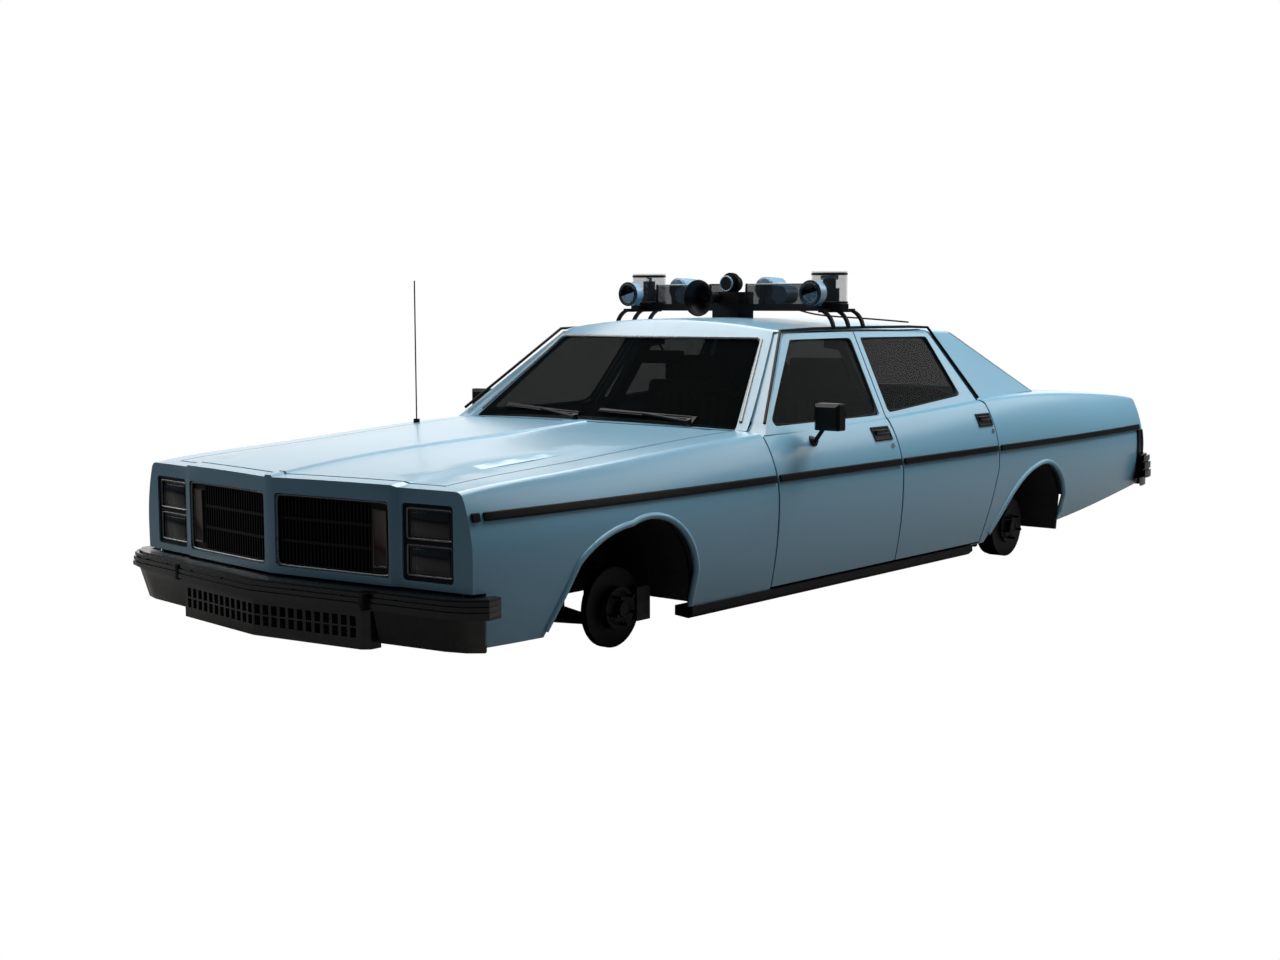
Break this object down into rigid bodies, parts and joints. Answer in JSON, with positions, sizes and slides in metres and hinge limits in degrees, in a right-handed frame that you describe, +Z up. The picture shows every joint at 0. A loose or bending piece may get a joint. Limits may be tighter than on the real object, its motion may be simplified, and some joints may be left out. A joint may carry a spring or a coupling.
{
  "type": "police patrol car without wheels",
  "caption": "Full-size patrol sedan with its road wheels off, standing on its brakes; doors, hood and trunk lid open, the hubs turn and the front pair steers; a light bar crosses the roof.",
  "frame": {"origin": "middle of the footprint, on the floor under the brake discs", "axes": "the nose points along -Y, +X is the car's left side, +Z is up"},
  "size_m": [2.104, 5.54, 1.409],
  "materials": {
    "paint": "satin pale grey-blue",
    "underseal": "matt",
    "black_trim": "satin",
    "black_rubber": "matt",
    "tinted_glass": "dark tint",
    "lamp_glass": "clear over dark",
    "red_lens": "gloss",
    "bright_steel": "brushed",
    "clear_cover": "clear",
    "blue_lens": "gloss",
    "seat_vinyl": "satin",
    "engine_iron": "rough",
    "chassis_iron": "rough",
    "exhaust_steel": "dull",
    "brake_iron": "rough"
  },
  "bodies": {
    "body": {"underbody": "underseal", "wheel_liners": "underseal", "front_fenders": "paint", "nose_panel": "paint", "cowl_panel": "paint", "roof_frame": "paint", "quarter_panels": "paint", "tail_panel": "paint", "sills": "black_trim", "fixed_glass": "tinted_glass", "grille": "black_trim", "headlamps": "lamp_glass", "front_bumper": "black_rubber", "front_valance": "black_trim", "rear_bumper": "black_rubber", "tail_lamps": "red_lens", "wipers": "bright_steel", "antenna": "bright_steel", "lightbar_base": "black_trim", "lightbar_covers": "clear_cover", "lightbar_lamps": "blue_lens", "siren_horn": "black_trim", "dashboard": "black_trim", "front_seats": "seat_vinyl", "rear_seat": "seat_vinyl", "engine": "engine_iron", "subframe": "chassis_iron", "rear_axle": "chassis_iron", "exhaust": "exhaust_steel", "fuel_tank": "exhaust_steel"},
    "hood": {"hood": "paint"},
    "trunk_lid": {"trunk_lid": "paint"},
    "front_door_left": {"front_door_left": "paint", "front_door_glass_left": "tinted_glass", "mirror_left": "black_trim"},
    "front_door_right": {"front_door_right": "paint", "front_door_glass_right": "tinted_glass", "mirror_right": "black_trim"},
    "rear_door_left": {"rear_door_left": "paint", "rear_door_glass_left": "tinted_glass"},
    "rear_door_right": {"rear_door_right": "paint", "rear_door_glass_right": "tinted_glass"},
    "knuckle_left": {"knuckle_left": "chassis_iron"},
    "front_hub_left": {"front_hub_left": "brake_iron"},
    "rear_hub_left": {"rear_hub_left": "brake_iron"},
    "knuckle_right": {"knuckle_right": "chassis_iron"},
    "front_hub_right": {"front_hub_right": "brake_iron"},
    "rear_hub_right": {"rear_hub_right": "brake_iron"},
    "steering_wheel": {"steering_wheel": "black_trim"}
  },
  "joints": [
    {"name": "hood_hinge", "type": "hinge", "parent": "body", "child": "hood", "pos_m": [0, -0.966, 0.748], "axis": [-1, 0, 0], "range_deg": [0, 55]},
    {"name": "trunk_hinge", "type": "hinge", "parent": "body", "child": "trunk_lid", "pos_m": [0, 1.749, 0.799], "axis": [1, 0, 0], "range_deg": [0, 75]},
    {"name": "front_door_left_hinge", "type": "hinge", "parent": "body", "child": "front_door_left", "pos_m": [0.937, -0.835, 0.45], "axis": [0, 0, -1], "range_deg": [0, 65]},
    {"name": "rear_door_left_hinge", "type": "hinge", "parent": "body", "child": "rear_door_left", "pos_m": [0.937, 0.098, 0.45], "axis": [0, 0, -1], "range_deg": [0, 65]},
    {"name": "front_door_right_hinge", "type": "hinge", "parent": "body", "child": "front_door_right", "pos_m": [-0.937, -0.835, 0.45], "axis": [0, 0, 1], "range_deg": [0, 65]},
    {"name": "rear_door_right_hinge", "type": "hinge", "parent": "body", "child": "rear_door_right", "pos_m": [-0.937, 0.098, 0.45], "axis": [0, 0, 1], "range_deg": [0, 65]},
    {"name": "steer_left", "type": "hinge", "parent": "body", "child": "knuckle_left", "pos_m": [0.655, -1.695, 0.15], "axis": [0, 0, 1], "range_deg": [-35, 35]},
    {"name": "steer_right", "type": "hinge", "parent": "body", "child": "knuckle_right", "pos_m": [-0.655, -1.695, 0.15], "axis": [0, 0, 1], "range_deg": [-35, 35]},
    {"name": "front_hub_left_spin", "type": "hinge", "parent": "knuckle_left", "child": "front_hub_left", "pos_m": [0.75, -1.695, 0.15], "axis": [1, 0, 0], "continuous": true},
    {"name": "rear_hub_left_spin", "type": "hinge", "parent": "body", "child": "rear_hub_left", "pos_m": [0.75, 1.29, 0.15], "axis": [1, 0, 0], "continuous": true},
    {"name": "front_hub_right_spin", "type": "hinge", "parent": "knuckle_right", "child": "front_hub_right", "pos_m": [-0.75, -1.695, 0.15], "axis": [1, 0, 0], "continuous": true},
    {"name": "rear_hub_right_spin", "type": "hinge", "parent": "body", "child": "rear_hub_right", "pos_m": [-0.75, 1.29, 0.15], "axis": [1, 0, 0], "continuous": true},
    {"name": "steering_wheel_turn", "type": "hinge", "parent": "body", "child": "steering_wheel", "pos_m": [0.37, -0.52, 0.69], "axis": [0, 0.9363, 0.3511], "range_deg": [-562, 562]}
  ],
  "couplings": [
    {"joint": "steer_right", "follows": "steer_left", "ratio": 1},
    {"joint": "steering_wheel_turn", "follows": "steer_left", "ratio": 16}
  ]
}
